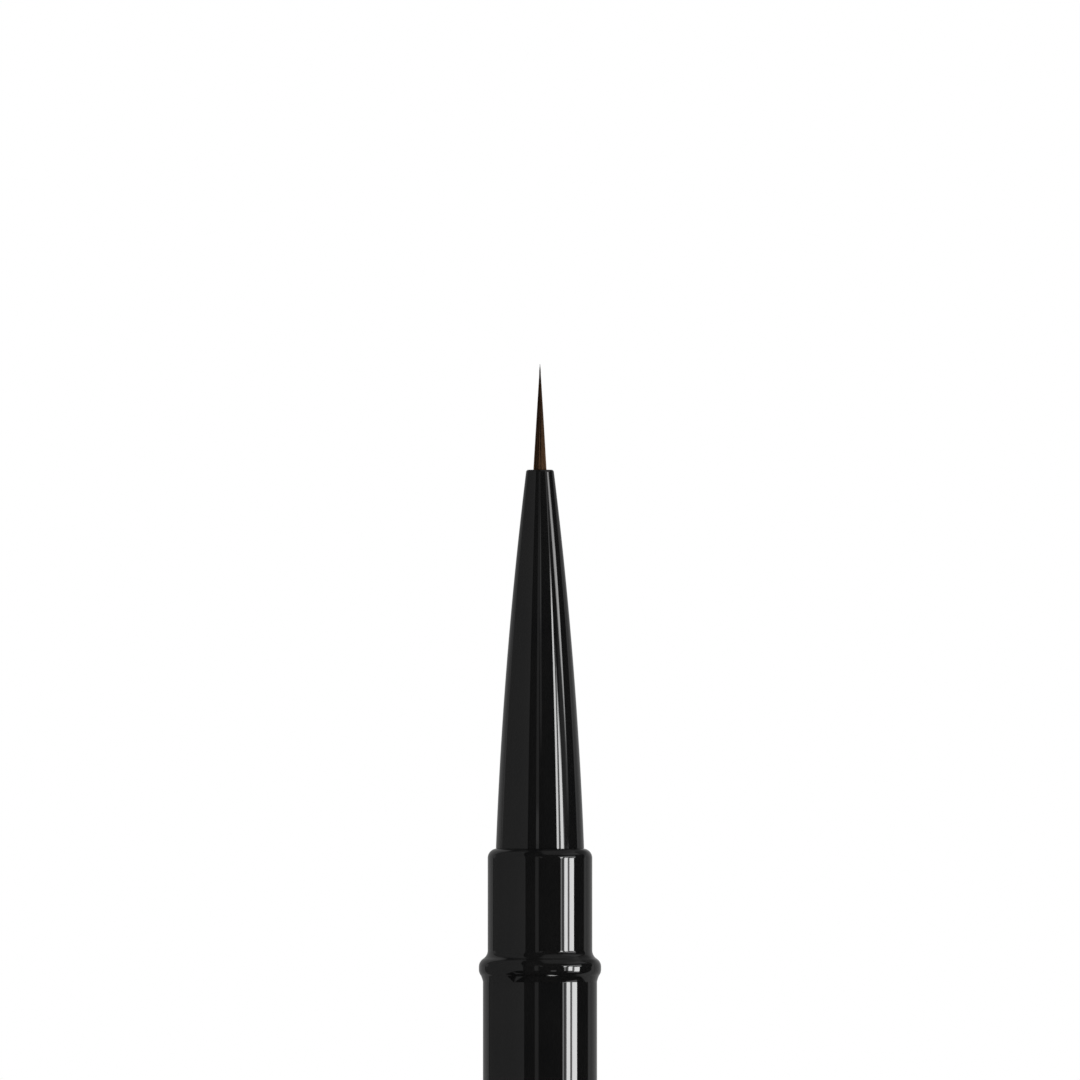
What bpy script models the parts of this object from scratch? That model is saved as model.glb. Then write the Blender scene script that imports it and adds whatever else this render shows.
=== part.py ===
"""Fine detail brush with its push-on cap posted on the tail.

A short tuft of hair sits in the mouth of a long, convex nose (the ferrule). The ferrule is glued
into a collar, which seats the cap, and a rolled bead under the collar stops the cap's mouth.
A lacquered tube over a wooden dowel makes the handle. A second post and bead close the tail, and
hold the cap while the brush is in use.

Z runs along the brush, with the tip up. The origin is the centre of the cap's closed end.
"""

from math import asin, atan2, cos, degrees, hypot, pi, radians, sin, sqrt

import bmesh
import bpy

MM = 0.001

# Handle tube and the dowel inside it
HANDLE_RADIUS = 4.5 * MM
HANDLE_LENGTH = 80.0 * MM
TUBE_WALL = 0.5 * MM
TENON_RADIUS = 3.0 * MM
TENON_LENGTH = 6.1 * MM

# Cap seat: the same turned shape at the front and at the tail
SEAT_RADIUS = 4.122 * MM
SEAT_LENGTH = 8.03 * MM
SHOULDER_ROUND = 0.746 * MM
BEAD_RADIUS = 4.82 * MM
BEAD_ROUND = 0.762 * MM
BEAD_BAND = 0.224 * MM
FLARE_TO_BEAD = 1.40 * MM
BEAD_TO_HANDLE = 1.07 * MM
SPIGOT_LENGTH = 7.0 * MM
COLLAR_BORE = 3.05 * MM

# Ferrule
FERRULE_LENGTH = 29.86 * MM
FERRULE_BASE_RADIUS = 3.478 * MM
FERRULE_MOUTH_RADIUS = 1.103 * MM
FERRULE_SIDE_ROUND = 354.0 * MM
FERRULE_LIP_ROUND = 0.2 * MM
FERRULE_LIP_START = 7.0  # degrees: the side leans this much where it runs into the lip
FERRULE_STEM_LENGTH = 4.2 * MM
HAIR_BORE_RADIUS = 0.6 * MM
HAIR_BORE_DEPTH = 12.0 * MM
REAR_BORE_RADIUS = 1.5 * MM

# Hair
TUFT_LENGTH = 8.33 * MM
TUFT_RADIUS = 0.525 * MM
TUFT_TAPER = 0.94
PIVOT_HEIGHT = 0.57 * MM
ROOT_RADIUS = 0.54 * MM
ROOT_LENGTH = 15.0 * MM
ROOT_STAND = 0.03 * MM
THREAD_DIAMETER = 0.16 * MM
THREAD_TURNS = 8
THREAD_UP_FROM_BUTT = 0.5 * MM
ADHESIVE_DEPTH = 3.0 * MM

# Cap
CAP_LENGTH = 53.0 * MM
CAP_RADIUS = 4.8 * MM
CAP_WALL = 0.3 * MM
CAP_MOUTH_ROUND = 0.1 * MM
CAP_MOUTH_OVER_SEAT = 0.6 * MM
CAP_END_THICKNESS = 1.25 * MM
CAP_END_ROUND = 0.8 * MM
CAP_PLUG_LENGTH = 2.5 * MM
LINER_LENGTH = 11.4 * MM
LINER_SETBACK = 0.6 * MM

# Clearances between pieces that are glued, pressed or slid together
GLUE_GAP = 0.05 * MM
SLIDE_GAP = 0.05 * MM

# Facets round the axis
SIDES = 40
HAIR_SIDES = 16
SHARP_ANGLE = radians(35)

# Heights along the axis
TAIL_FLARE_Z = CAP_LENGTH - CAP_MOUTH_OVER_SEAT
TAIL_BEAD_Z = TAIL_FLARE_Z + FLARE_TO_BEAD
TAIL_SHOULDER_Z = TAIL_FLARE_Z - SEAT_LENGTH
HANDLE_BOTTOM_Z = TAIL_BEAD_Z + BEAD_TO_HANDLE
HANDLE_TOP_Z = HANDLE_BOTTOM_Z + HANDLE_LENGTH
FRONT_BEAD_Z = HANDLE_TOP_Z + BEAD_TO_HANDLE
FRONT_FLARE_Z = FRONT_BEAD_Z + FLARE_TO_BEAD
FERRULE_BASE_Z = FRONT_FLARE_Z + SEAT_LENGTH
MOUTH_Z = FERRULE_BASE_Z + FERRULE_LENGTH
TIP_Z = MOUTH_Z + TUFT_LENGTH
PIVOT_Z = MOUTH_Z + PIVOT_HEIGHT


def clear_scene():
    for obj in list(bpy.data.objects):
        bpy.data.objects.remove(obj)


def material(name, colour, roughness, metallic=0.0):
    made = bpy.data.materials.new(name)
    made.use_nodes = True
    shader = made.node_tree.nodes["Principled BSDF"]
    shader.inputs["Base Color"].default_value = (*colour, 1.0)
    shader.inputs["Roughness"].default_value = roughness
    shader.inputs["Metallic"].default_value = metallic
    return made


def arc(centre_r, centre_z, radius, start, end, steps):
    """Points (r, z) on a circle of the turning plane. Angles are in degrees, from +r towards +z."""
    points = []
    for i in range(steps + 1):
        angle = radians(start + (end - start) * i / steps)
        points.append((centre_r + radius * cos(angle), centre_z + radius * sin(angle)))
    return points


def bulging_arc(lower, upper, radius, steps):
    """Points from lower to upper on the arc of that radius that bulges away from the axis."""
    chord_r, chord_z = upper[0] - lower[0], upper[1] - lower[1]
    chord = hypot(chord_r, chord_z)
    sink = sqrt(radius**2 - (chord / 2) ** 2)
    centre_r = (lower[0] + upper[0]) / 2 - sink * chord_z / chord
    centre_z = (lower[1] + upper[1]) / 2 + sink * chord_r / chord
    start = degrees(asin((lower[1] - centre_z) / radius))
    end = degrees(asin((upper[1] - centre_z) / radius))
    return arc(centre_r, centre_z, radius, start, end, steps)


def turned(name, origin_z, outline, made_of, sides=SIDES, closed=True):
    """A solid of revolution whose own origin is on the axis at origin_z.

    The outline's points are (r, z) in the brush's frame. An open outline starts and ends on the
    axis, and a closed one never meets it.
    """
    mesh = bpy.data.meshes.new(name)
    bm = bmesh.new()
    rings = []
    for r, z in outline:
        count = sides if r > 0 else 1
        turn = [2 * pi * i / sides for i in range(count)]
        rings.append([bm.verts.new((r * cos(a), r * sin(a), z - origin_z)) for a in turn])
    pairs = list(zip(rings, rings[1:]))
    if closed:
        pairs.append((rings[-1], rings[0]))
    for ring, following in pairs:
        for i in range(sides):
            j = (i + 1) % sides
            corners = [ring[i % len(ring)], ring[j % len(ring)]]
            corners += [following[j % len(following)], following[i % len(following)]]
            bm.faces.new(list(dict.fromkeys(corners)))
    bmesh.ops.recalc_face_normals(bm, faces=bm.faces)
    bm.to_mesh(mesh)
    bm.free()
    mesh.materials.append(made_of)
    mesh.shade_smooth()
    mesh.set_sharp_from_angle(angle=SHARP_ANGLE)
    obj = bpy.data.objects.new(name, mesh)
    obj.location = (0.0, 0.0, origin_z)
    bpy.context.scene.collection.objects.link(obj)
    return obj


def joint_empty(name, height):
    """An empty on the brush's axis, for the pieces that move together."""
    empty = bpy.data.objects.new(name, None)
    empty.location = (0.0, 0.0, height)
    empty.empty_display_size = 4 * MM
    bpy.context.scene.collection.objects.link(empty)
    return empty


def hang_from(empty, *pieces):
    """Parents the pieces to the empty and leaves them where they are."""
    for piece in pieces:
        piece.parent = empty
        piece.location.z -= empty.location.z


def seat_outline(flare_z, up):
    """The cap seat's outer side, from the round of its shoulder to the handle's surface.

    up is 1 where the shoulder is above the bead and -1 where it is below.
    """
    shoulder_z = flare_z + up * SEAT_LENGTH
    bead_z = flare_z - up * FLARE_TO_BEAD
    bead_centre_r = BEAD_RADIUS - BEAD_ROUND

    # The flare is tangent to the seat where it starts, and to the bead's upper round.
    reach = FLARE_TO_BEAD - BEAD_BAND / 2
    inset = SEAT_RADIUS - bead_centre_r
    rise = reach**2 + inset**2 - BEAD_ROUND**2
    flare_round = rise / (2 * (BEAD_ROUND - inset))
    flare_turn = degrees(atan2(reach, inset + flare_round))

    # The fillet under the bead is tangent to the bead's lower round and to the handle's surface.
    drop = BEAD_TO_HANDLE - BEAD_BAND / 2
    step = HANDLE_RADIUS - bead_centre_r
    fall = drop**2 + step**2 - BEAD_ROUND**2
    fillet_round = fall / (2 * (BEAD_ROUND - step))
    fillet_turn = degrees(atan2(drop, step + fillet_round))

    # The bead has a narrow cylindrical band between its two rounds.
    band_start, band_end = bead_z + up * BEAD_BAND / 2, bead_z - up * BEAD_BAND / 2
    handle_z = bead_z - up * BEAD_TO_HANDLE
    points = arc(SEAT_RADIUS - SHOULDER_ROUND, shoulder_z - up * SHOULDER_ROUND, SHOULDER_ROUND,
                 90 * up, 0, 4)
    points += arc(SEAT_RADIUS + flare_round, flare_z, flare_round,
                  180 * up, (180 + flare_turn) * up, 4)
    points += arc(bead_centre_r, band_start, BEAD_ROUND, flare_turn * up, 0, 5)[1:]
    points += arc(bead_centre_r, band_end, BEAD_ROUND, 0, -fillet_turn * up, 4)
    points += arc(HANDLE_RADIUS + fillet_round, handle_z, fillet_round,
                  (180 - fillet_turn) * up, 180 * up, 3)[1:]
    return points


def hair_radius(height):
    """The tuft's radius at a height above the ferrule's mouth."""
    return TUFT_RADIUS * (1 - height / TUFT_LENGTH) ** TUFT_TAPER


def make_hair_tuft(made_of):
    """The free hairs: a slim cone whose ball-shaped foot turns on the pivot."""
    foot = hair_radius(PIVOT_HEIGHT)
    outline = arc(0, PIVOT_Z, foot, -90, 0, 4)
    outline[0] = (0, PIVOT_Z - foot)
    free = TUFT_LENGTH - PIVOT_HEIGHT
    for share in (0.3, 0.6, 0.8, 0.92, 0.98):
        height = PIVOT_HEIGHT + share * free
        outline.append((hair_radius(height), MOUTH_Z + height))
    outline.append((0, TIP_Z))
    return turned("hair_tuft", PIVOT_Z, outline, made_of, HAIR_SIDES, closed=False)


def make_hair_root(made_of):
    """The glued butt of the same hairs, inside the ferrule."""
    top, bottom = MOUTH_Z + ROOT_STAND, MOUTH_Z - ROOT_LENGTH
    outline = [(0, top), (ROOT_RADIUS, top), (ROOT_RADIUS, bottom), (0, bottom)]
    return turned("hair_root", bottom, outline, made_of, HAIR_SIDES, closed=False)


def make_tuft_binding(made_of):
    """Turns of thread, side by side, round the hair root just above its butt."""
    inner = ROOT_RADIUS + GLUE_GAP
    bottom = MOUTH_Z - ROOT_LENGTH + THREAD_UP_FROM_BUTT
    outline = []
    for turn in range(THREAD_TURNS):
        centre = bottom + (turn + 0.5) * THREAD_DIAMETER
        bump = arc(inner + THREAD_DIAMETER / 2, centre, THREAD_DIAMETER / 2, -80, 80, 4)
        outline += bump
    outline.append((inner, outline[-1][1]))
    outline.append((inner, outline[0][1]))
    return turned("tuft_binding", bottom, outline, made_of, HAIR_SIDES)


def make_tuft_adhesive(made_of):
    """The cup of set adhesive that locks the bound butt at the top of the ferrule's rear bore."""
    outer = REAR_BORE_RADIUS - GLUE_GAP
    inner = ROOT_RADIUS + THREAD_DIAMETER + 2 * GLUE_GAP
    top = MOUTH_Z - HAIR_BORE_DEPTH - REAR_BORE_RADIUS
    floor = MOUTH_Z - ROOT_LENGTH - GLUE_GAP
    bottom = floor - ADHESIVE_DEPTH
    outline = [(0, floor), (inner, floor), (inner, top), (outer, top), (outer, bottom), (0, bottom)]
    return turned("tuft_adhesive", bottom, outline, made_of, HAIR_SIDES, closed=False)


def make_ferrule(made_of):
    """The nose: a convex taper outside, a narrow hair bore from the mouth and a wider one from the rear."""
    base = (FERRULE_BASE_RADIUS, FERRULE_BASE_Z)
    lip_centre_z = MOUTH_Z - FERRULE_LIP_ROUND
    lip_centre_r = FERRULE_MOUTH_RADIUS - FERRULE_LIP_ROUND
    outline = bulging_arc(base, (FERRULE_MOUTH_RADIUS, lip_centre_z), FERRULE_SIDE_ROUND, 14)
    outline += arc(lip_centre_r, lip_centre_z, FERRULE_LIP_ROUND, FERRULE_LIP_START, 90, 4)[1:]
    bores_meet_z = MOUTH_Z - HAIR_BORE_DEPTH
    stem_bottom = FERRULE_BASE_Z - FERRULE_STEM_LENGTH
    outline += [
        (HAIR_BORE_RADIUS, MOUTH_Z),
        (HAIR_BORE_RADIUS, bores_meet_z),
        (REAR_BORE_RADIUS, bores_meet_z - (REAR_BORE_RADIUS - HAIR_BORE_RADIUS)),
        (REAR_BORE_RADIUS, stem_bottom),
        (TENON_RADIUS, stem_bottom),
        (TENON_RADIUS, FERRULE_BASE_Z),
    ]
    return turned("ferrule", FERRULE_BASE_Z, outline, made_of)


def make_collar_sleeve(made_of):
    """The front cap seat and its stop bead, bored through, with a spigot that fills the tube's end."""
    tube_bore = HANDLE_RADIUS - TUBE_WALL
    spigot_bottom = HANDLE_TOP_Z - SPIGOT_LENGTH
    top = FERRULE_BASE_Z - GLUE_GAP
    outline = [(COLLAR_BORE, top)]
    outline += [(r, min(z, top)) for r, z in seat_outline(FRONT_FLARE_Z, 1)]
    outline += [
        (tube_bore - GLUE_GAP, HANDLE_TOP_Z),
        (tube_bore - GLUE_GAP, spigot_bottom),
        (COLLAR_BORE, spigot_bottom),
    ]
    return turned("collar_sleeve", HANDLE_TOP_Z, outline, made_of)


def make_handle_tube(made_of):
    bottom, top = HANDLE_BOTTOM_Z + GLUE_GAP, HANDLE_TOP_Z - GLUE_GAP
    bore = HANDLE_RADIUS - TUBE_WALL
    outline = [(HANDLE_RADIUS, top), (HANDLE_RADIUS, bottom), (bore, bottom), (bore, top)]
    return turned("handle_tube", bottom, outline, made_of)


def make_handle_core(made_of):
    """The dowel, with a tenon that reaches up through the collar to the ferrule's stem."""
    body = HANDLE_RADIUS - TUBE_WALL - GLUE_GAP
    bottom = HANDLE_BOTTOM_Z + SPIGOT_LENGTH + GLUE_GAP
    shoulder = HANDLE_TOP_Z - SPIGOT_LENGTH - GLUE_GAP
    top = HANDLE_TOP_Z + TENON_LENGTH
    outline = [(0, top), (TENON_RADIUS, top), (TENON_RADIUS, shoulder), (body, shoulder)]
    outline += [(body, bottom), (0, bottom)]
    return turned("handle_core", bottom, outline, made_of, closed=False)


def make_tail_post(made_of):
    """The solid tail: the cap seat turned over, with a spigot up into the tube."""
    spigot = HANDLE_RADIUS - TUBE_WALL - GLUE_GAP
    top = HANDLE_BOTTOM_Z + SPIGOT_LENGTH
    outline = [(0, TAIL_SHOULDER_Z)]
    outline += seat_outline(TAIL_FLARE_Z, -1)
    outline += [(spigot, HANDLE_BOTTOM_Z), (spigot, top), (0, top)]
    return turned("tail_post", HANDLE_BOTTOM_Z, outline, made_of, closed=False)


def make_cap_shell(made_of):
    inner = CAP_RADIUS - CAP_WALL
    bottom = CAP_END_THICKNESS + GLUE_GAP
    lip_r, lip_z = CAP_RADIUS - CAP_MOUTH_ROUND, CAP_LENGTH - CAP_MOUTH_ROUND
    outline = arc(lip_r, lip_z, CAP_MOUTH_ROUND, 90, 0, 3)
    outline += [(CAP_RADIUS, bottom), (inner, bottom), (inner, CAP_LENGTH)]
    return turned("cap_shell", bottom, outline, made_of)


def make_cap_liner(made_of):
    """The plastic sleeve that grips the seat by friction."""
    outer = CAP_RADIUS - CAP_WALL - GLUE_GAP
    inner = SEAT_RADIUS + SLIDE_GAP
    top = CAP_LENGTH - LINER_SETBACK
    bottom = top - LINER_LENGTH
    outline = [(outer, top), (outer, bottom), (inner, bottom), (inner, top)]
    return turned("cap_liner", bottom, outline, made_of)


def make_cap_end_plug(made_of):
    """The disc that closes the cap, flat outside with a rounded rim, and pressed into the shell."""
    spigot = CAP_RADIUS - CAP_WALL - GLUE_GAP
    top = CAP_END_THICKNESS + CAP_PLUG_LENGTH
    outline = [(0, 0)]
    outline += arc(CAP_RADIUS - CAP_END_ROUND, CAP_END_ROUND, CAP_END_ROUND, -90, 0, 5)
    outline += [(CAP_RADIUS, CAP_END_THICKNESS), (spigot, CAP_END_THICKNESS)]
    outline += [(spigot, top), (0, top)]
    return turned("cap_end_plug", 0.0, outline, made_of, closed=False)


def main():
    clear_scene()

    black_lacquer = material("black_lacquer", (0.006, 0.006, 0.006), 0.06)
    brown_hair = material("brown_hair", (0.030, 0.014, 0.007), 0.45)
    waxed_thread = material("waxed_thread", (0.55, 0.50, 0.38), 0.7)
    set_adhesive = material("set_adhesive", (0.60, 0.42, 0.16), 0.25)
    birch = material("birch", (0.58, 0.42, 0.26), 0.6)
    liner_plastic = material("liner_plastic", (0.70, 0.70, 0.68), 0.35)

    make_cap_shell(black_lacquer)
    make_cap_liner(liner_plastic)
    make_cap_end_plug(black_lacquer)

    # The brush pulls out of the cap along the axis, from where the cap's mouth holds it.
    handle = joint_empty("handle_slide", CAP_LENGTH)
    tuft = joint_empty("tuft_pivot", PIVOT_Z)
    hang_from(
        handle,
        make_hair_root(brown_hair),
        make_tuft_binding(waxed_thread),
        make_tuft_adhesive(set_adhesive),
        make_ferrule(black_lacquer),
        make_collar_sleeve(black_lacquer),
        make_handle_tube(black_lacquer),
        make_handle_core(birch),
        make_tail_post(black_lacquer),
    )

    # The free hairs turn about the pivot, just above the ferrule's mouth.
    hang_from(tuft, make_hair_tuft(brown_hair))
    hang_from(handle, tuft)


main()
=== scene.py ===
"""Looks of the fine detail brush: lacquered turned pieces, a tuft of separate hairs, a plain studio."""

import random
from math import acos, asin, atan2, cos, degrees, exp, hypot, pi, radians, sin, sqrt

import bmesh
import bpy
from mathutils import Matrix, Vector


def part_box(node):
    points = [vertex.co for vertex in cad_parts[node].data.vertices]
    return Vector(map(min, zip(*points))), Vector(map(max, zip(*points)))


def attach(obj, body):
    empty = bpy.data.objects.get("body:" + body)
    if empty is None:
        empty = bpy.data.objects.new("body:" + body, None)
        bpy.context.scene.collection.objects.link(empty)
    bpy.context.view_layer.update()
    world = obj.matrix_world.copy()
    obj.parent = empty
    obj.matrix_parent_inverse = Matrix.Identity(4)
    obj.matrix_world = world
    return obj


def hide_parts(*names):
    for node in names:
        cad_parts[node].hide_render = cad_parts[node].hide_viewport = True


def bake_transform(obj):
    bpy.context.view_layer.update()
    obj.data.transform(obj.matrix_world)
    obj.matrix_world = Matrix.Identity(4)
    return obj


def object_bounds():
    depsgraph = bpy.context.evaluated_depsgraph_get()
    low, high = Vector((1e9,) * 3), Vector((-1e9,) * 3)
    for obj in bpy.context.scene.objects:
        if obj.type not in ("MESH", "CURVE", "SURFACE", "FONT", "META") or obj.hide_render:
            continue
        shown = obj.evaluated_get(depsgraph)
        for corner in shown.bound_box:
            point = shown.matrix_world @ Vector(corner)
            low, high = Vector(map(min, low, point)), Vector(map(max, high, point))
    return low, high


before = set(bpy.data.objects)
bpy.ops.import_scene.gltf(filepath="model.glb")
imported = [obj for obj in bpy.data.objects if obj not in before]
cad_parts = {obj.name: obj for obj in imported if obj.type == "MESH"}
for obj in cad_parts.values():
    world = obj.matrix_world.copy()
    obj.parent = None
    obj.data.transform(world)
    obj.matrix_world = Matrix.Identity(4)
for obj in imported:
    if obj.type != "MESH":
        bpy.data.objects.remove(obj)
cad_low, cad_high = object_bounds()

MM = 0.001

# Sizes of the design that the frame's boxes don't give, with the angle of the ferrule's lip in degrees
SEAT_RADIUS = 4.122 * MM
SEAT_LENGTH = 8.03 * MM
SHOULDER_ROUND = 0.746 * MM
BEAD_ROUND = 0.762 * MM
BEAD_BAND = 0.224 * MM
FLARE_TO_BEAD = 1.40 * MM
BEAD_TO_HANDLE = 1.07 * MM
SKIRT_TOP_LEAN = radians(24)
SKIRT_FOOT_LEAN = radians(12)
COLLAR_BORE = 3.05 * MM
TENON_RADIUS = 3.0 * MM
TUBE_WALL = 0.5 * MM
FERRULE_BASE_RADIUS = 3.478 * MM
FERRULE_MOUTH_RADIUS = 1.103 * MM
FERRULE_SIDE_ROUND = 354.0 * MM
FERRULE_LIP_ROUND = 0.2 * MM
FERRULE_LIP_START = 7.0
HAIR_BORE_RADIUS = 0.6 * MM
HAIR_BORE_DEPTH = 12.0 * MM
REAR_BORE_RADIUS = 1.5 * MM
CAP_WALL = 0.3 * MM
CAP_MOUTH_ROUND = 0.1 * MM
CAP_END_ROUND = 0.8 * MM
CAP_END_THICKNESS = 1.25 * MM
LINER_CHAMFER = 0.16 * MM
DOWEL_CHAMFER = 0.3 * MM
GLUE_GAP = 0.05 * MM
SLIDE_GAP = 0.05 * MM

# Details that only the looks have
EDGE_ROUND = 0.03 * MM
SEAM = 0.004 * MM
GRIP_RINGS = 3
GRIP_RING_PITCH = 3.0 * MM
GRIP_RING_STAND = 0.04 * MM
GRIP_RING_WIDTH = 0.5 * MM
MENISCUS = 0.25 * MM
CUP_FLOOR_SHARE = 0.8
CUP_FLOOR_RISE = 0.4 * MENISCUS
THREAD_TURNS = 7
THREAD_RADIUS = 0.078 * MM

# The tuft: its outline, and the clump of the last hairs near its tip
TUFT_RADIUS = 0.548 * MM
TUFT_TIP_RADIUS = 0.0145 * MM
CLUMP_SHARE = 0.935
CLUMP_SPREAD = 0.03
CLUMP_STAND = 0.013 * MM

# The hairs: their number and size, how much shorter some are, and how they stray and fade
HAIR_SEED = 2099
HAIR_COUNT = 140
HAIR_RADIUS = 0.045 * MM
HAIR_TIP_RADIUS = 0.001 * MM
HAIR_TAPER_POWER = 0.5
HAIR_ROOM = 0.9
GOLDEN_TURN = pi * (3 - sqrt(5))
SHORTEST_BY = 0.45
SHORT_HAIR_POWER = 1.6
HAIR_DRIFT = 0.25
HAIR_WAVE = 0.2
WAVE_ANGLE = 5.0
TIP_DARKENING = 0.75

# Fineness of the meshes
SIDES = 180
SHARP_ANGLE = radians(32)
GUARD = 0.012 * MM
SHORT_RUN = 0.25
BARREL_STEPS = 8
CAP_SIDE_STEPS = 6
FLAT_STEPS = 3
SHOULDER_STEPS = 20
FLARE_STEPS = 16
BEAD_STEPS = 18
GROOVE_STEPS = 14
SKIRT_STEPS = 12
FERRULE_SIDE_STEPS = 120
FERRULE_LIP_STEPS = 14
CAP_MOUTH_STEPS = 8
CAP_END_STEPS = 20
EDGE_STEPS = 4
GRIP_RING_STEPS = 8
MENISCUS_STEPS = 8
THREAD_STEPS = 48
THREAD_SIDES = 10
HAIR_SIDES = 8
HAIR_STEPS = 30

# The camera: a long lens on a full frame sensor, and how it frames the brush
LENS = 1600.0
SENSOR = 36.0
VIEW_WIDTH = 85.13 * MM
TIP_OVER_CENTRE = 13.873 * MM

# The studio: its strength where no panel stands, and its floor
DARK = 0.012
FLOOR_RADIUS = 1.6
FLOOR_SIDES = 96


def node_radius(node):
    low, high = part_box(node)
    return (high.x - low.x) / 2


HANDLE_RADIUS = node_radius("handle_tube")
BEAD_RADIUS = node_radius("collar_sleeve")
CAP_RADIUS = node_radius("cap_shell")
SPIGOT_RADIUS = node_radius("handle_core")

MOUTH_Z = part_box("ferrule")[1].z
TIP_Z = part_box("hair_tuft")[1].z
BUTT_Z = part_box("hair_root")[0].z
FERRULE_FOOT_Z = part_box("ferrule")[0].z
COLLAR_FOOT_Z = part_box("collar_sleeve")[0].z
POST_END_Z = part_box("tail_post")[0].z
POST_TOP_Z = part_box("tail_post")[1].z
CAP_MOUTH_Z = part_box("cap_shell")[1].z
CAP_SHELL_FOOT_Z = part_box("cap_shell")[0].z
PLUG_TOP_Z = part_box("cap_end_plug")[1].z
FERRULE_BASE_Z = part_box("collar_sleeve")[1].z + GLUE_GAP
TUFT_LENGTH = TIP_Z - MOUTH_Z
SEAT_TO_HANDLE = SEAT_LENGTH + FLARE_TO_BEAD + BEAD_TO_HANDLE
HANDLE_TOP_Z = FERRULE_BASE_Z - SEAT_TO_HANDLE
HANDLE_BOTTOM_Z = POST_END_Z + SEAT_TO_HANDLE


# ---------------------------------------------------------------- outlines


def arc(centre_r, centre_z, radius, start, end, steps):
    """Points (r, z) on a circle of the turning plane. Angles are in degrees, from +r towards +z."""
    points = []
    for i in range(steps + 1):
        angle = radians(start + (end - start) * i / steps)
        points.append((centre_r + radius * cos(angle), centre_z + radius * sin(angle)))
    return points


def bulging_arc(lower, upper, radius, steps):
    """Points from lower to upper on the arc of that radius that bulges away from the axis."""
    chord_r, chord_z = upper[0] - lower[0], upper[1] - lower[1]
    chord = hypot(chord_r, chord_z)
    sink = sqrt(radius**2 - (chord / 2) ** 2)
    centre_r = (lower[0] + upper[0]) / 2 - sink * chord_z / chord
    centre_z = (lower[1] + upper[1]) / 2 + sink * chord_r / chord
    start = degrees(asin((lower[1] - centre_z) / radius))
    end = degrees(asin((upper[1] - centre_z) / radius))
    return arc(centre_r, centre_z, radius, start, end, steps)


def seat_outline(flare_z, up):
    """The cap seat's outer side, from the round of its shoulder to the handle's surface.

    Past its stop bead a short hollow skirt leads to the handle. It meets the bead in a shallow
    groove and the handle in a faint edge.
    """
    shoulder_z = flare_z + up * SEAT_LENGTH
    bead_z = flare_z - up * FLARE_TO_BEAD
    bead_centre_r = BEAD_RADIUS - BEAD_ROUND

    reach = FLARE_TO_BEAD - BEAD_BAND / 2
    inset = SEAT_RADIUS - bead_centre_r
    rise = reach**2 + inset**2 - BEAD_ROUND**2
    flare_round = rise / (2 * (BEAD_ROUND - inset))
    flare_turn = degrees(atan2(reach, inset + flare_round))

    drop = BEAD_TO_HANDLE - BEAD_BAND / 2
    step = HANDLE_RADIUS - bead_centre_r
    widening = cos(SKIRT_FOOT_LEAN) - cos(SKIRT_TOP_LEAN)
    climb = sin(SKIRT_TOP_LEAN) - sin(SKIRT_FOOT_LEAN)
    meeting = (widening * drop + climb * step) / (BEAD_ROUND * hypot(widening, climb))
    groove_turn = atan2(widening, climb) + acos(meeting)
    skirt_round = (drop - BEAD_ROUND * sin(groove_turn)) / climb

    band_start, band_end = bead_z + up * BEAD_BAND / 2, bead_z - up * BEAD_BAND / 2
    handle_z = bead_z - up * BEAD_TO_HANDLE
    points = arc(SEAT_RADIUS - SHOULDER_ROUND, shoulder_z - up * SHOULDER_ROUND, SHOULDER_ROUND,
                 90 * up, 0, SHOULDER_STEPS)
    points += arc(SEAT_RADIUS + flare_round, flare_z, flare_round,
                  180 * up, (180 + flare_turn) * up, FLARE_STEPS)
    points += arc(bead_centre_r, band_start, BEAD_ROUND, flare_turn * up, 0, BEAD_STEPS)[1:]
    points += arc(bead_centre_r, band_end, BEAD_ROUND, 0, -degrees(groove_turn) * up, GROOVE_STEPS)
    points += arc(HANDLE_RADIUS + skirt_round * cos(SKIRT_FOOT_LEAN),
                  handle_z - up * skirt_round * sin(SKIRT_FOOT_LEAN), skirt_round,
                  (180 - degrees(SKIRT_TOP_LEAN)) * up, (180 - degrees(SKIRT_FOOT_LEAN)) * up,
                  SKIRT_STEPS)[1:]
    return points


def guarded(outline):
    """Adds a point on each long run close to a short one, which keeps the smooth shading true."""
    points = []
    for i, (here, there) in enumerate(zip(outline, outline[1:])):
        points.append(here)
        run = hypot(there[0] - here[0], there[1] - here[1])
        before = outline[i - 1] if i else None
        after = outline[i + 2] if i + 2 < len(outline) else None
        if before and hypot(here[0] - before[0], here[1] - before[1]) < run * SHORT_RUN:
            points.append(between(here, there, GUARD / run))
        if after and hypot(after[0] - there[0], after[1] - there[1]) < run * SHORT_RUN:
            points.append(between(here, there, 1 - GUARD / run))
    points.append(outline[-1])
    return points


def between(start, end, share):
    return (start[0] + (end[0] - start[0]) * share, start[1] + (end[1] - start[1]) * share)


def straight(start, end, steps):
    return [between(start, end, i / steps) for i in range(steps + 1)]


# ---------------------------------------------------------------- meshes


def turned(name, outline, closed=True):
    """A finely turned solid. An open outline starts and ends on the axis."""
    bm = bmesh.new()
    rings = []
    for r, z in guarded(outline):
        count = SIDES if r > 0 else 1
        turn = [2 * pi * i / SIDES for i in range(count)]
        rings.append([bm.verts.new((r * cos(a), r * sin(a), z)) for a in turn])
    pairs = list(zip(rings, rings[1:]))
    if closed:
        pairs.append((rings[-1], rings[0]))
    for ring, following in pairs:
        for i in range(SIDES):
            j = (i + 1) % SIDES
            corners = [ring[i % len(ring)], ring[j % len(ring)]]
            corners += [following[j % len(following)], following[i % len(following)]]
            bm.faces.new(list(dict.fromkeys(corners)))
    return finish_mesh(name, bm)


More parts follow.
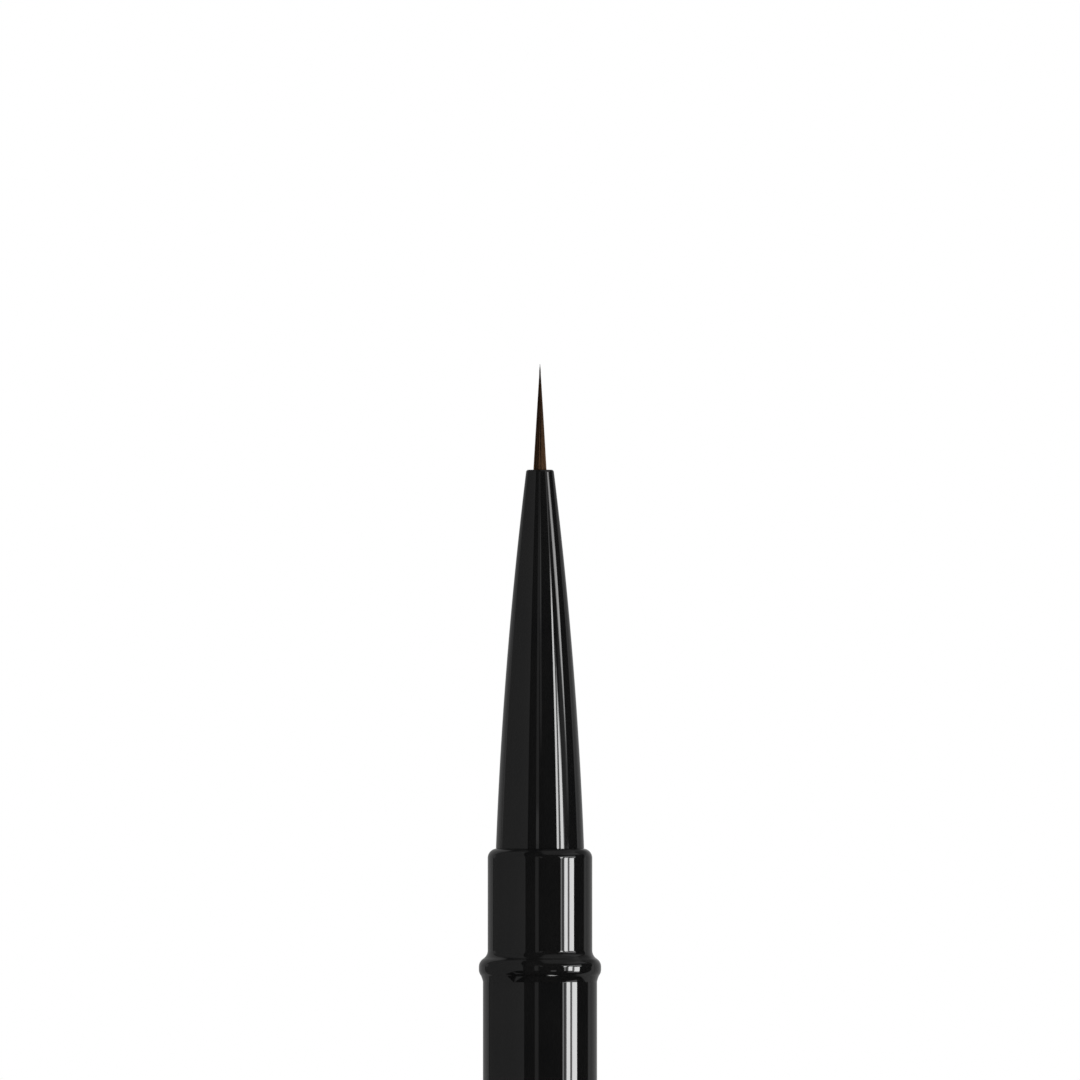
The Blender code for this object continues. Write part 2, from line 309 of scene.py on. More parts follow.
def skin_rings(bm, rings):
    """A closed skin over rings of equally many points."""
    sides = len(rings[0])
    for ring, following in zip(rings, rings[1:]):
        for i in range(sides):
            j = (i + 1) % sides
            bm.faces.new((ring[i], ring[j], following[j], following[i]))
    bm.faces.new(list(reversed(rings[0])))
    bm.faces.new(rings[-1])


def finish_mesh(name, bm):
    bmesh.ops.recalc_face_normals(bm, faces=bm.faces)
    mesh = bpy.data.meshes.new(name)
    bm.to_mesh(mesh)
    bm.free()
    mesh.shade_smooth()
    mesh.set_sharp_from_angle(angle=SHARP_ANGLE)
    obj = bpy.data.objects.new(name, mesh)
    bpy.context.scene.collection.objects.link(obj)
    return obj


def place(obj, made_of, body, slot, *nodes):
    """Gives the piece its material and its body, and hides the nodes that it replaces. The slot is not
    used.
    """
    obj.data.materials.append(made_of)
    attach(obj, body)
    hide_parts(*nodes)


# ---------------------------------------------------------------- materials


def new_material(name):
    made = bpy.data.materials.new(name)
    made.use_nodes = True
    tree = made.node_tree
    return made, tree, tree.nodes["Principled BSDF"]


def add_node(tree, kind, inputs=None, **settings):
    node = tree.nodes.new(kind)
    for key, value in settings.items():
        setattr(node, key, value)
    for key, value in (inputs or {}).items():
        node.inputs[key].default_value = value
    return node


def ramp_stops(node, stops):
    ramp = node.color_ramp
    while len(ramp.elements) < len(stops):
        ramp.elements.new(0.5)
    for element, (position, colour) in zip(ramp.elements, stops):
        element.position = position
        element.color = (*colour, 1.0)


def lacquer_material(name, seed):
    """Black gloss lacquer on metal: a deep black that clouds a little, with a faint orange peel."""
    made, tree, shader = new_material(name)
    link = tree.links.new
    where = add_node(tree, "ShaderNodeTexCoord")
    cloud = add_node(tree, "ShaderNodeTexNoise",
                     {"Scale": 260.0, "Detail": 3.0, "W": seed}, noise_dimensions="4D")
    link(where.outputs["Object"], cloud.inputs["Vector"])
    colour = add_node(tree, "ShaderNodeValToRGB")
    ramp_stops(colour, [(0.3, (0.0044, 0.0045, 0.0047)), (0.7, (0.0062, 0.0061, 0.0060))])
    link(cloud.outputs["Fac"], colour.inputs["Fac"])
    link(colour.outputs["Color"], shader.inputs["Base Color"])

    polish = add_node(tree, "ShaderNodeTexNoise",
                      {"Scale": 900.0, "Detail": 4.0, "W": seed + 3.0}, noise_dimensions="4D")
    link(where.outputs["Object"], polish.inputs["Vector"])
    gloss = add_node(tree, "ShaderNodeMapRange",
                     {"From Min": 0.3, "From Max": 0.75, "To Min": 0.02, "To Max": 0.04})
    link(polish.outputs["Fac"], gloss.inputs["Value"])
    link(gloss.outputs["Result"], shader.inputs["Roughness"])

    peel = add_node(tree, "ShaderNodeTexNoise",
                    {"Scale": 700.0, "Detail": 1.0, "W": seed + 7.0}, noise_dimensions="4D")
    link(where.outputs["Object"], peel.inputs["Vector"])
    bump = add_node(tree, "ShaderNodeBump", {"Strength": 0.05, "Distance": 0.00002})
    link(peel.outputs["Fac"], bump.inputs["Height"])
    link(bump.outputs["Normal"], shader.inputs["Normal"])
    shader.inputs["IOR"].default_value = 1.5
    return made


def hair_material():
    """Dark brown hair. Each hair has its own tone, kept in the mesh, and darkens towards its tip."""
    made, tree, shader = new_material("brown_hair_strands")
    link = tree.links.new
    tone = add_node(tree, "ShaderNodeAttribute", attribute_name="hair_tone")
    colour = add_node(tree, "ShaderNodeValToRGB")
    ramp_stops(colour, [
        (0.0, (0.008, 0.005, 0.003)),
        (0.3, (0.026, 0.012, 0.005)),
        (0.7, (0.066, 0.033, 0.015)),
        (1.0, (0.150, 0.086, 0.045)),
    ])
    link(tone.outputs["Fac"], colour.inputs["Fac"])

    where = add_node(tree, "ShaderNodeTexCoord")
    stretch = add_node(tree, "ShaderNodeMapping", {"Scale": (1.0, 1.0, 0.12)})
    link(where.outputs["Object"], stretch.inputs["Vector"])
    mottle = add_node(tree, "ShaderNodeTexNoise", {"Scale": 9000.0, "Detail": 2.0})
    link(stretch.outputs["Vector"], mottle.inputs["Vector"])
    shade = add_node(tree, "ShaderNodeMapRange",
                     {"From Min": 0.3, "From Max": 0.7, "To Min": 0.65, "To Max": 1.25})
    link(mottle.outputs["Fac"], shade.inputs["Value"])
    scaled = add_node(tree, "ShaderNodeVectorMath", operation="SCALE")
    link(colour.outputs["Color"], scaled.inputs["Vector"])
    link(shade.outputs["Result"], scaled.inputs["Scale"])
    link(scaled.outputs["Vector"], shader.inputs["Base Color"])

    rough = add_node(tree, "ShaderNodeMapRange",
                     {"From Min": 0.3, "From Max": 0.7, "To Min": 0.42, "To Max": 0.58})
    link(mottle.outputs["Fac"], rough.inputs["Value"])
    link(rough.outputs["Result"], shader.inputs["Roughness"])
    shader.inputs["Specular IOR Level"].default_value = 0.1
    return made


def thread_material():
    """Waxed cotton thread, with its twist as fine slanted ridges."""
    made, tree, shader = new_material("waxed_thread_twist")
    link = tree.links.new
    where = add_node(tree, "ShaderNodeTexCoord")
    slant = add_node(tree, "ShaderNodeMapping", {"Rotation": (0.5, 0.6, 0.4)})
    link(where.outputs["Object"], slant.inputs["Vector"])
    twist = add_node(tree, "ShaderNodeTexWave", {"Scale": 6000.0, "Distortion": 1.5, "Detail": 2.0})
    link(slant.outputs["Vector"], twist.inputs["Vector"])
    colour = add_node(tree, "ShaderNodeValToRGB")
    ramp_stops(colour, [(0.0, (0.36, 0.31, 0.21)), (1.0, (0.62, 0.56, 0.42))])
    link(twist.outputs["Fac"], colour.inputs["Fac"])
    link(colour.outputs["Color"], shader.inputs["Base Color"])
    bump = add_node(tree, "ShaderNodeBump", {"Strength": 0.5, "Distance": 0.00002})
    link(twist.outputs["Fac"], bump.inputs["Height"])
    link(bump.outputs["Normal"], shader.inputs["Normal"])
    shader.inputs["Roughness"].default_value = 0.7
    return made


def adhesive_material():
    """Set amber adhesive, cloudy in places."""
    made, tree, shader = new_material("set_adhesive_amber")
    link = tree.links.new
    where = add_node(tree, "ShaderNodeTexCoord")
    cloud = add_node(tree, "ShaderNodeTexNoise", {"Scale": 1400.0, "Detail": 4.0})
    link(where.outputs["Object"], cloud.inputs["Vector"])
    colour = add_node(tree, "ShaderNodeValToRGB")
    ramp_stops(colour, [(0.3, (0.45, 0.27, 0.08)), (0.7, (0.68, 0.50, 0.22))])
    link(cloud.outputs["Fac"], colour.inputs["Fac"])
    link(colour.outputs["Color"], shader.inputs["Base Color"])
    gloss = add_node(tree, "ShaderNodeMapRange", {"To Min": 0.12, "To Max": 0.35})
    link(cloud.outputs["Fac"], gloss.inputs["Value"])
    link(gloss.outputs["Result"], shader.inputs["Roughness"])
    return made


def birch_material():
    """Pale birch with fine grain along the dowel."""
    made, tree, shader = new_material("birch_grain")
    link = tree.links.new
    where = add_node(tree, "ShaderNodeTexCoord")
    stretch = add_node(tree, "ShaderNodeMapping", {"Scale": (1.0, 1.0, 0.05)})
    link(where.outputs["Object"], stretch.inputs["Vector"])
    grain = add_node(tree, "ShaderNodeTexNoise", {"Scale": 1500.0, "Detail": 6.0, "Roughness": 0.7})
    link(stretch.outputs["Vector"], grain.inputs["Vector"])
    colour = add_node(tree, "ShaderNodeValToRGB")
    ramp_stops(colour, [(0.3, (0.40, 0.26, 0.14)), (0.7, (0.64, 0.48, 0.31))])
    link(grain.outputs["Fac"], colour.inputs["Fac"])
    link(colour.outputs["Color"], shader.inputs["Base Color"])
    bump = add_node(tree, "ShaderNodeBump", {"Strength": 0.3, "Distance": 0.00003})
    link(grain.outputs["Fac"], bump.inputs["Height"])
    link(bump.outputs["Normal"], shader.inputs["Normal"])
    shader.inputs["Roughness"].default_value = 0.6
    return made


def liner_material():
    """Milky moulded plastic with flow marks along the sleeve."""
    made, tree, shader = new_material("liner_milky_plastic")
    link = tree.links.new
    where = add_node(tree, "ShaderNodeTexCoord")
    stretch = add_node(tree, "ShaderNodeMapping", {"Scale": (1.0, 1.0, 0.2)})
    link(where.outputs["Object"], stretch.inputs["Vector"])
    flow = add_node(tree, "ShaderNodeTexNoise", {"Scale": 800.0, "Detail": 3.0})
    link(stretch.outputs["Vector"], flow.inputs["Vector"])
    colour = add_node(tree, "ShaderNodeValToRGB")
    ramp_stops(colour, [(0.3, (0.62, 0.62, 0.60)), (0.7, (0.76, 0.76, 0.74))])
    link(flow.outputs["Fac"], colour.inputs["Fac"])
    link(colour.outputs["Color"], shader.inputs["Base Color"])
    gloss = add_node(tree, "ShaderNodeMapRange", {"To Min": 0.28, "To Max": 0.42})
    link(flow.outputs["Fac"], gloss.inputs["Value"])
    link(gloss.outputs["Result"], shader.inputs["Roughness"])
    shader.inputs["Subsurface Weight"].default_value = 0.2
    shader.inputs["Subsurface Radius"].default_value = (0.0006, 0.0006, 0.0006)
    shader.inputs["Subsurface Scale"].default_value = 1.0
    return made


# ---------------------------------------------------------------- turned pieces


def make_ferrule(made_of):
    """The nose, with a bore for the hairs that meets a wider one from behind."""
    base_z = FERRULE_BASE_Z + SEAM
    lip_z = MOUTH_Z - FERRULE_LIP_ROUND
    lip_r = FERRULE_MOUTH_RADIUS - FERRULE_LIP_ROUND
    bores_meet_z = MOUTH_Z - HAIR_BORE_DEPTH
    outline = bulging_arc((FERRULE_BASE_RADIUS, base_z), (FERRULE_MOUTH_RADIUS, lip_z),
                          FERRULE_SIDE_ROUND, FERRULE_SIDE_STEPS)
    outline += arc(lip_r, lip_z, FERRULE_LIP_ROUND, FERRULE_LIP_START, 90,
                   FERRULE_LIP_STEPS)[1:]
    outline += arc(HAIR_BORE_RADIUS + EDGE_ROUND, MOUTH_Z - EDGE_ROUND, EDGE_ROUND, 90, 180,
                   EDGE_STEPS)
    outline += [
        (HAIR_BORE_RADIUS, bores_meet_z),
        (REAR_BORE_RADIUS, bores_meet_z - (REAR_BORE_RADIUS - HAIR_BORE_RADIUS)),
        (REAR_BORE_RADIUS, FERRULE_FOOT_Z),
        (TENON_RADIUS, FERRULE_FOOT_Z),
        (TENON_RADIUS, base_z),
    ]
    place(turned("ferrule_nose", outline), made_of, "handle", "black_lacquer", "ferrule")


def make_collar(made_of):
    outline = [(COLLAR_BORE, FERRULE_BASE_Z)]
    outline += seat_outline(FERRULE_BASE_Z - SEAT_LENGTH, 1)
    outline += [
        (SPIGOT_RADIUS, HANDLE_TOP_Z),
        (SPIGOT_RADIUS, COLLAR_FOOT_Z),
        (COLLAR_BORE, COLLAR_FOOT_Z),
    ]
    place(turned("collar_and_bead", outline), made_of, "handle", "black_lacquer", "collar_sleeve")


def make_tube(made_of):
    top, bottom = HANDLE_TOP_Z - SEAM, HANDLE_BOTTOM_Z + SEAM
    bore = HANDLE_RADIUS - TUBE_WALL
    outline = straight((HANDLE_RADIUS, top), (HANDLE_RADIUS, bottom), BARREL_STEPS)
    outline += [(bore, bottom), (bore, top)]
    place(turned("handle_barrel", outline), made_of, "handle", "black_lacquer", "handle_tube")


def make_tail_post(made_of):
    outline = straight((0, POST_END_Z), (SEAT_RADIUS - SHOULDER_ROUND, POST_END_Z), FLAT_STEPS)
    outline += seat_outline(POST_END_Z + SEAT_LENGTH, -1)[1:]
    outline += [(SPIGOT_RADIUS, HANDLE_BOTTOM_Z), (SPIGOT_RADIUS, POST_TOP_Z), (0, POST_TOP_Z)]
    place(turned("tail_post_and_bead", outline, closed=False), made_of, "handle",
          "black_lacquer", "tail_post")


def make_cap(made_of):
    inner = CAP_RADIUS - CAP_WALL
    lip = arc(CAP_RADIUS - CAP_MOUTH_ROUND, CAP_MOUTH_Z - CAP_MOUTH_ROUND, CAP_MOUTH_ROUND,
              90, 0, CAP_MOUTH_STEPS)
    foot = arc(CAP_RADIUS - EDGE_ROUND, CAP_SHELL_FOOT_Z + EDGE_ROUND, EDGE_ROUND, 0, -90,
               EDGE_STEPS)
    outline = lip + straight(lip[-1], foot[0], CAP_SIDE_STEPS)[1:-1] + foot
    outline += [(inner, CAP_SHELL_FOOT_Z)]
    outline += arc(inner + EDGE_ROUND, CAP_MOUTH_Z - EDGE_ROUND, EDGE_ROUND, 180, 90,
                   EDGE_STEPS)
    place(turned("cap_barrel", outline), made_of, "cap", "black_lacquer", "cap_shell")


def make_cap_end(made_of):
    """The closed end of the cap, whose flat is at the frame's origin."""
    spigot = CAP_RADIUS - CAP_WALL - GLUE_GAP
    outline = straight((0, 0), (CAP_RADIUS - CAP_END_ROUND, 0), FLAT_STEPS)
    outline += arc(CAP_RADIUS - CAP_END_ROUND, CAP_END_ROUND, CAP_END_ROUND, -90, 0,
                   CAP_END_STEPS)[1:]
    outline += arc(CAP_RADIUS - EDGE_ROUND, CAP_END_THICKNESS - EDGE_ROUND, EDGE_ROUND, 0, 90,
                   EDGE_STEPS)
    outline += [(spigot, CAP_END_THICKNESS), (spigot, PLUG_TOP_Z), (0, PLUG_TOP_Z)]
    place(turned("cap_end", outline, closed=False), made_of, "cap", "black_lacquer",
          "cap_end_plug")


def make_liner(made_of):
    """The sleeve that grips the seat, with a lead-in chamfer and low rings inside."""
    low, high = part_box("cap_liner")
    outer = node_radius("cap_liner")
    inner = SEAT_RADIUS + SLIDE_GAP
    outline = arc(outer - EDGE_ROUND, high.z - EDGE_ROUND, EDGE_ROUND, 90, 0, EDGE_STEPS)
    outline += [(outer, low.z), (inner + LINER_CHAMFER, low.z), (inner, low.z + LINER_CHAMFER)]
    for ring in range(GRIP_RINGS):
        middle = high.z - (GRIP_RINGS - ring) * GRIP_RING_PITCH
        for step in range(GRIP_RING_STEPS + 1):
            share = step / GRIP_RING_STEPS
            stand = GRIP_RING_STAND * sin(pi * share) ** 2
            outline.append((inner - stand, middle + (share - 0.5) * GRIP_RING_WIDTH))
    outline += [(inner, high.z - LINER_CHAMFER), (inner + LINER_CHAMFER, high.z)]
    place(turned("liner_sleeve", outline), made_of, "cap", "liner_plastic", "cap_liner")


def make_dowel(made_of):
    low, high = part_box("handle_core")
    body = node_radius("handle_core")
    shoulder_z = COLLAR_FOOT_Z - GLUE_GAP
    outline = [
        (0, high.z),
        (TENON_RADIUS - DOWEL_CHAMFER, high.z),
        (TENON_RADIUS, high.z - DOWEL_CHAMFER),
        (TENON_RADIUS, shoulder_z),
        (body - DOWEL_CHAMFER, shoulder_z),
        (body, shoulder_z - DOWEL_CHAMFER),
        (body, low.z + DOWEL_CHAMFER),
        (body - DOWEL_CHAMFER, low.z),
        (0, low.z),
    ]
    place(turned("dowel", outline, closed=False), made_of, "handle", "birch", "handle_core")


def make_adhesive(made_of):
    """The cup of set adhesive round the bound butt, with a meniscus that climbs the bore's wall."""
    low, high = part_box("tuft_adhesive")
    outer = node_radius("tuft_adhesive")
    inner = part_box("tuft_binding")[1].x + GLUE_GAP
    floor_z = BUTT_Z - GLUE_GAP
    outline = [(0, floor_z), (inner, floor_z), (inner, high.z - MENISCUS)]
    for step in range(1, MENISCUS_STEPS + 1):
        share = step / MENISCUS_STEPS
        outline.append((inner + share * (outer - inner), high.z - MENISCUS * (1 - share**3)))
    outline += [(outer, low.z), (outer * CUP_FLOOR_SHARE, low.z + CUP_FLOOR_RISE),
                (0, low.z + MENISCUS)]
    place(turned("adhesive_cup", outline, closed=False), made_of, "handle",
          "set_adhesive", "tuft_adhesive")


def make_binding(made_of):
    """One thread wound round the hairs' butt, turn beside turn."""
    low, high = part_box("tuft_binding")
    winding_r = high.x - THREAD_RADIUS
    start_z = low.z + THREAD_RADIUS
    climb = high.z - low.z - 2 * THREAD_RADIUS
    count = THREAD_TURNS * THREAD_STEPS
    bm = bmesh.new()
    rings = []
    for step in range(count + 1):
        angle = 2 * pi * step / THREAD_STEPS
        centre_z = start_z + climb * step / count
        ring = []
        for side in range(THREAD_SIDES):
            around = 2 * pi * side / THREAD_SIDES
            r = winding_r + THREAD_RADIUS * cos(around)
            z = centre_z + THREAD_RADIUS * sin(around)
            ring.append(bm.verts.new((r * cos(angle), r * sin(angle), z)))
        rings.append(ring)
    skin_rings(bm, rings)
    place(finish_mesh("thread_winding", bm), made_of, "handle", "waxed_thread", "tuft_binding")


# ---------------------------------------------------------------- hair


def tuft_radius(share):
    """The tuft's radius at a share of the way from the mouth to the tip.

    It tapers evenly but for a slight clump near the tip, where the last hairs stick together.
    """
    even = TUFT_RADIUS + (TUFT_TIP_RADIUS - TUFT_RADIUS) * share
    return even + CLUMP_STAND * exp(-((share - CLUMP_SHARE) / CLUMP_SPREAD) ** 2)


def hair_path(spread, turn, reach, drift, wave, phase):
    """Height, distance from the axis, turn and radius along one hair, from its butt to its tip."""
    points = [(BUTT_Z, spread * (TUFT_RADIUS - HAIR_RADIUS), turn, HAIR_RADIUS)]
    for step in range(HAIR_STEPS + 1):
        share = reach * sin(pi / 2 * step / HAIR_STEPS)
        radius = HAIR_RADIUS * max(0.0, 1 - share / reach) ** HAIR_TAPER_POWER
        radius = max(HAIR_TIP_RADIUS, min(radius, HAIR_ROOM * tuft_radius(share)))
        room = max(tuft_radius(share) - radius, 0.0)
        swing = turn + drift * share + wave * sin(WAVE_ANGLE * share + phase) * share
        points.append((MOUTH_Z + share * TUFT_LENGTH, spread * room, swing, radius))
    return points


def add_hair(bm, tone_layer, path, tone):
    """One closed, tapered hair along the path. Its tone falls off towards its tip."""
    rings = []
    for z, out, swing, radius in path:
        share = max(0.0, (z - MOUTH_Z) / TUFT_LENGTH)
        centre = Vector((out * cos(swing), out * sin(swing), z))
        ring = []
        for i in range(HAIR_SIDES):
            around = 2 * pi * i / HAIR_SIDES
            vert = bm.verts.new(centre + radius * Vector((cos(around), sin(around), 0)))
            vert[tone_layer] = tone * (1 - TIP_DARKENING * share)
            ring.append(vert)
        rings.append(ring)
    skin_rings(bm, rings)


def make_hair(made_of):
    """Hairs packed in rings like the seeds of a sunflower, all drawn together to one point."""
    rng = random.Random(HAIR_SEED)
    bm = bmesh.new()
    tone_layer = bm.verts.layers.float.new("hair_tone")
    for k in range(HAIR_COUNT):
        spread = sqrt((k + 0.5) / HAIR_COUNT)
        turn = k * GOLDEN_TURN
        reach = 1 - SHORTEST_BY * rng.random() ** SHORT_HAIR_POWER * spread
        tone = rng.random()
        drift = rng.uniform(-HAIR_DRIFT, HAIR_DRIFT)
        wave = rng.uniform(-HAIR_WAVE, HAIR_WAVE)
        phase = rng.uniform(0, 2 * pi)
        path = hair_path(spread, turn, reach, drift, wave, phase)
        add_hair(bm, tone_layer, path, tone)
    obj = finish_mesh("hair_strands", bm)
    obj.data.materials.append(made_of)
    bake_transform(obj)
    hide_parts("hair_tuft", "hair_root")


# ---------------------------------------------------------------- studio


def math_node(tree, operation, *values):
    """A maths node whose inputs are sockets or numbers."""
    node = add_node(tree, "ShaderNodeMath", operation=operation)
    for i, value in enumerate(values):
        if isinstance(value, (int, float)):
            node.inputs[i].default_value = value
        else:
            tree.links.new(value, node.inputs[i])
    return node.outputs["Value"]


def soft_step(tree, value, edge, soft):
    """A socket that goes from 0 to 1 as the value passes the edge. A negative soft turns it round."""
    step = add_node(tree, "ShaderNodeMapRange", {"From Min": edge - soft, "From Max": edge + soft},
                    interpolation_type="SMOOTHSTEP")
    tree.links.new(value, step.inputs["Value"])
    return step.outputs["Result"]


class Studio:
    """The light panels that stand round the brush, drawn into the world's background.

    Azimuth is 0 towards the viewer and grows to the right, elevation grows upwards, and both are in
    degrees, as is everything here but strength.
    """

    def __init__(self, tree):
        self.tree = tree
        where = add_node(tree, "ShaderNodeTexCoord")
        split = add_node(tree, "ShaderNodeSeparateXYZ")
        tree.links.new(where.outputs["Generated"], split.inputs["Vector"])
        away = math_node(tree, "MULTIPLY", split.outputs["Y"], -1.0)
        bearing = math_node(tree, "ARCTAN2", split.outputs["X"], away)
        height = math_node(tree, "ARCSINE", split.outputs["Z"])
        self.direction = where.outputs["Generated"]
        self.azimuth = math_node(tree, "DEGREES", bearing)
        self.elevation = math_node(tree, "DEGREES", height)
        self.total = None

    def right_of(self, azimuth, tilt, soft):
        """1 to the right of a straight edge that crosses the horizon there and tilts to the right."""
        turn, lean = radians(azimuth), radians(tilt)
        across = add_node(self.tree, "ShaderNodeVectorMath", operation="DOT_PRODUCT")
        across.inputs[1].default_value = (cos(turn) * cos(lean), sin(turn) * cos(lean), -sin(lean))
        self.tree.links.new(self.direction, across.inputs[0])
        return soft_step(self.tree, across.outputs["Value"], 0.0, radians(soft))

    def above(self, elevation, azimuth, slope, soft):
        """1 above a line that has that elevation at that azimuth and that slope."""
        height = self.elevation
        if slope:
            height = math_node(self.tree, "MULTIPLY_ADD", self.azimuth, -slope, height)
        return soft_step(self.tree, height, elevation - slope * azimuth, soft)

    def panel(self, left, right, bottom, top, strength, tilt=(0, 0), slope=(0, 0), soft=0.6,
              end_soft=0.8):
        """One panel.

        Strength is one number, or one for its left and one for its right edge. Tilt is for those
        edges too, and slope is for its bottom and top, whose elevations are those at its left.
        """
        tree = self.tree
        lit = self.right_of(left, tilt[0], soft)
        lit = math_node(tree, "MULTIPLY", lit, self.right_of(right, tilt[1], -soft))
        lit = math_node(tree, "MULTIPLY", lit, self.above(bottom, left, slope[0], end_soft))
        lit = math_node(tree, "MULTIPLY", lit, self.above(top, left, slope[1], -end_soft))
        if isinstance(strength, tuple):
            grade = add_node(tree, "ShaderNodeMapRange", {
                "From Min": left, "From Max": right, "To Min": strength[0], "To Max": strength[1]})
            tree.links.new(self.azimuth, grade.inputs["Value"])
            strength = grade.outputs["Result"]
        before = DARK if self.total is None else self.total
        self.total = math_node(tree, "MULTIPLY_ADD", lit, strength, before)


def make_world():
    """White to the camera, and to everything else a dark studio with light panels."""
    world = bpy.data.worlds.new("studio")
    bpy.context.scene.world = world
    world.use_nodes = True
    tree = world.node_tree
    tree.nodes.clear()
    link = tree.links.new

    studio = Studio(tree)
    # The large dim panel at the left, its reflector below, and the pale wall behind it
    studio.panel(-125, -85, -7, 76, (0.120, 0.235))
    studio.panel(-85, -32.4, -7, 20, (0.240, 0.305), tilt=(0, -5), end_soft=0.6)
    studio.panel(-85, -29.5, 20, 76, (0.225, 0.275), tilt=(0, -14), end_soft=0.6)
    studio.panel(-125, -85, -64, -7, (0.120, 0.235))
    studio.panel(-85, -37.5, -64, -7, (0.240, 0.305), tilt=(0, 40), end_soft=0.6)
    studio.panel(-180, -127, -40, 50, 0.265, soft=1.5, end_soft=6)
    studio.panel(-127, -118.5, 1.5, 17, 0.16, soft=1.5)
    # The narrow strips beside the viewer, and the faint wall that they stand against
    studio.panel(-33, -3, -50, 60, 0.027, soft=3, end_soft=8)
    studio.panel(-3, 42, -50, 30, 0.010, soft=3, end_soft=8)
    studio.panel(-10.4, -3, -7, 9, 0.265)
    studio.panel(-10.4, -3, 4.0, 5.0, 0.3, end_soft=0.3)
    studio.panel(-10.4, -1.6, 9, 12.7, 0.26)
    studio.panel(-0.3, 5.5, 7, 10, 0.27)
    studio.panel(-0.3, 5.5, 10, 12.8, 0.68)
    studio.panel(-10, 4, 12.8, 22, 0.16, soft=1)
    studio.panel(20.5, 31, -17, -5, 1.0, soft=1)
    # The three bright uprights at the right, and the haze between and below them
    studio.panel(46.7, 50.0, -9, 2.5, 3.3, soft=0.5, end_soft=1)
    studio.panel(44.5, 50.2, 2.5, 10.0, 13.6, tilt=(12, 12), soft=0.5, end_soft=0.9)
    studio.panel(44.0, 49.5, 10.0, 12.4, 1.1, tilt=(12, 12), soft=0.8)
    studio.panel(51.3, 55, -8, 4, 1.1)
    studio.panel(50.5, 55.5, 4, 8, 1.8)
    studio.panel(55.5, 63.9, -7, 2, 15.6, end_soft=1)
    studio.panel(56.7, 65.2, 2, 7.5, 15.0, slope=(0, -0.3), end_soft=1)
    studio.panel(55.5, 64.3, -13, -7, 2.5)
    studio.panel(64.3, 68.6, -13, 4, 2.0)
    studio.panel(68.6, 80.7, -14, 2.4, 14.9, soft=0.5)
    studio.panel(56, 84, -25, -14, 1.2, soft=2, end_soft=1)
    # The slanted light above the last upright, and what it spills
    studio.panel(61, 84.7, 12.3, 14.0, (5.5, 7.5), slope=(-0.31, -0.22), soft=0.8)
    studio.panel(66, 86, 3.5, 8, 0.25, soft=1.5)
    studio.panel(79.5, 86.5, 4.0, 6.0, 0.5, soft=1)
    studio.panel(43, 55, 13.5, 20, 1.5, soft=2, end_soft=2)
    studio.panel(55, 88, 12, 21, 1.5, soft=2, end_soft=2)
    # The overhead softbox
    studio.panel(10, 115, 46, 90, 0.22, slope=(-0.2, 0), soft=4, end_soft=3)
    studio.panel(115, 150, 45, 90, 0.16, soft=4, end_soft=3)
    studio.panel(60, 112, 31, 48, 0.22, soft=4, end_soft=4)
    # The bright wall behind the brush at the right
    studio.panel(114.5, 124, -45, 22, 0.33, tilt=(25, 0), soft=1.5, end_soft=5)
    studio.panel(124, 180, -45, 22, (0.235, 0.385), soft=1.5, end_soft=9)
    studio.panel(120, 180, 22, 50, 0.10, soft=1.5, end_soft=9)
    # The table's edge below
    studio.panel(31, 60, -75, -64, 10.5, soft=2, end_soft=1)
    studio.panel(21, 42, -63, -58.5, 2.5, soft=2, end_soft=1)

    lights = add_node(tree, "ShaderNodeBackground")
    lights.inputs["Color"].default_value = (1.0, 1.0, 1.0, 1.0)
    link(studio.total, lights.inputs["Strength"])
    backdrop = add_node(tree, "ShaderNodeBackground")
    backdrop.inputs["Color"].default_value = (1.0, 1.0, 1.0, 1.0)
    path = add_node(tree, "ShaderNodeLightPath")
    mix = add_node(tree, "ShaderNodeMixShader")
    link(path.outputs["Is Camera Ray"], mix.inputs["Fac"])
    link(lights.outputs["Background"], mix.inputs[1])
    link(backdrop.outputs["Background"], mix.inputs[2])
    out = add_node(tree, "ShaderNodeOutputWorld")
    link(mix.outputs["Shader"], out.inputs["Surface"])


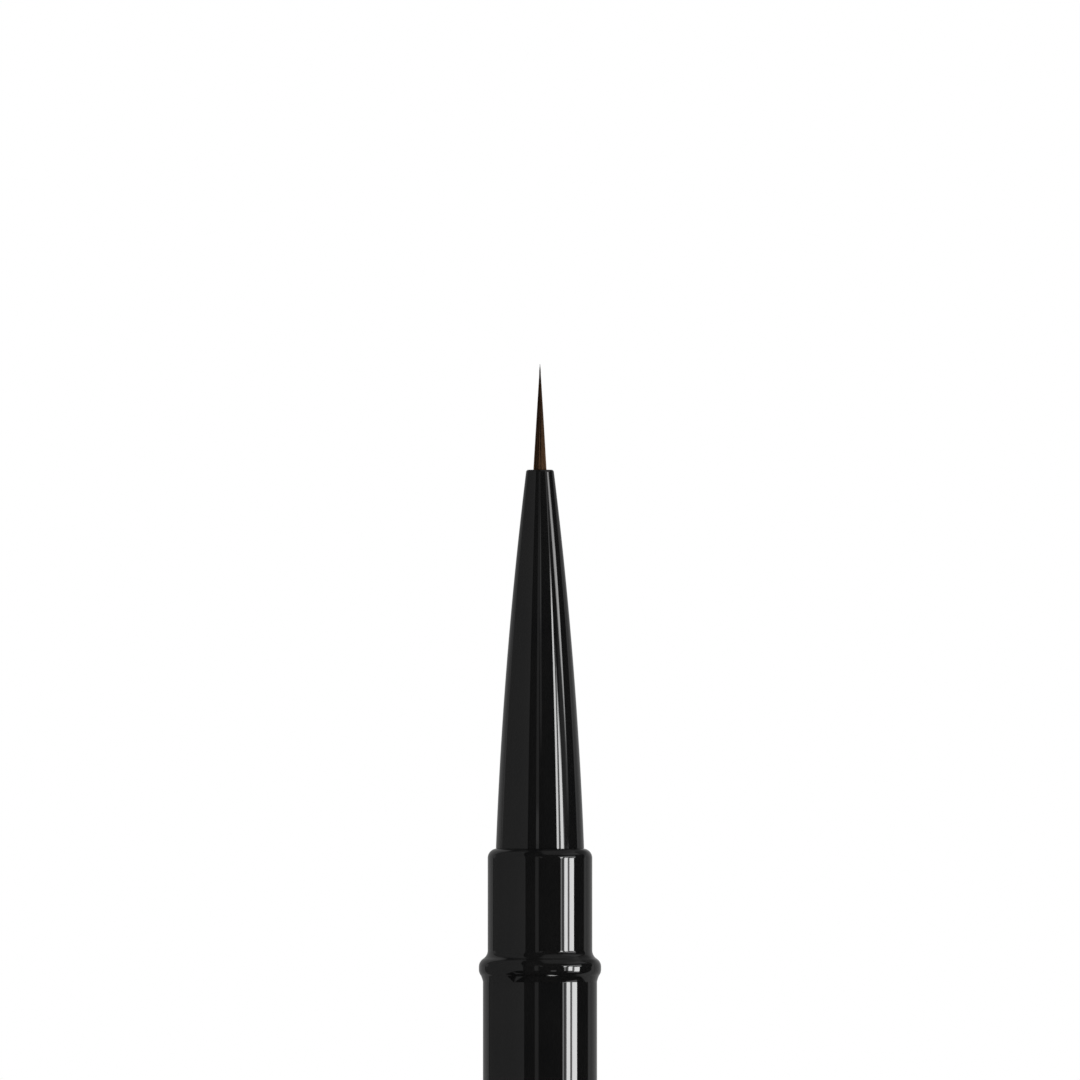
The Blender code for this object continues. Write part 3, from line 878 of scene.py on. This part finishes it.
def make_floor():
    """A plain pale round floor under the cap's end, which the gloss doesn't show."""
    bm = bmesh.new()
    bmesh.ops.create_circle(bm, cap_ends=True, segments=FLOOR_SIDES, radius=FLOOR_RADIUS)
    mesh = bpy.data.meshes.new("floor")
    bm.to_mesh(mesh)
    bm.free()
    floor = bpy.data.objects.new("floor", mesh)
    floor.location.z = cad_low.z
    bpy.context.scene.collection.objects.link(floor)
    made, tree, shader = new_material("pale_floor")
    shader.inputs["Base Color"].default_value = (0.86, 0.86, 0.86, 1.0)
    shader.inputs["Roughness"].default_value = 0.8
    shader.inputs["Specular IOR Level"].default_value = 0.1
    mesh.materials.append(made)
    floor.visible_glossy = False


def make_soft_light(name, place_at, size, power):
    """A soft light that the gloss doesn't show."""
    data = bpy.data.lights.new(name, "AREA")
    data.shape = "SQUARE"
    data.size = size
    data.energy = power
    lamp = bpy.data.objects.new(name, data)
    lamp.location = place_at
    aim = (cad_low + cad_high) / 2 - lamp.location
    lamp.rotation_euler = aim.to_track_quat("-Z", "Y").to_euler()
    lamp.visible_glossy = False
    lamp.visible_camera = False
    bpy.context.scene.collection.objects.link(lamp)


def make_camera():
    """A long lens, level with the brush, so that the view is nearly parallel."""
    data = bpy.data.cameras.new("camera")
    data.lens = LENS
    data.sensor_width = SENSOR
    camera = bpy.data.objects.new("camera", data)
    distance = VIEW_WIDTH * LENS / SENSOR
    camera.location = (0, -distance, TIP_Z - TIP_OVER_CENTRE)
    camera.rotation_euler = (pi / 2, 0, 0)
    data.clip_start = distance * 0.1
    data.clip_end = distance * 10
    bpy.context.scene.collection.objects.link(camera)
    bpy.context.scene.camera = camera


# ---------------------------------------------------------------- the scene


make_camera()

black_nose = lacquer_material("black_lacquer_nose", 1.0)
black_collar = lacquer_material("black_lacquer_collar", 2.0)
black_barrel = lacquer_material("black_lacquer_barrel", 3.0)
black_cap = lacquer_material("black_lacquer_cap", 4.0)

make_ferrule(black_nose)
make_collar(black_collar)
make_tube(black_barrel)
make_tail_post(black_collar)
make_cap(black_cap)
make_cap_end(black_cap)
make_hair(hair_material())
make_binding(thread_material())
make_adhesive(adhesive_material())
make_dowel(birch_material())
make_liner(liner_material())

make_world()
make_floor()
make_soft_light("overhead", place_at=(0.3, -0.5, 1.2), size=1.0, power=12.0)
make_soft_light("left_fill", place_at=(-0.9, -0.6, 0.4), size=0.6, power=2.0)
bpy.context.scene.view_settings.view_transform = "Standard"
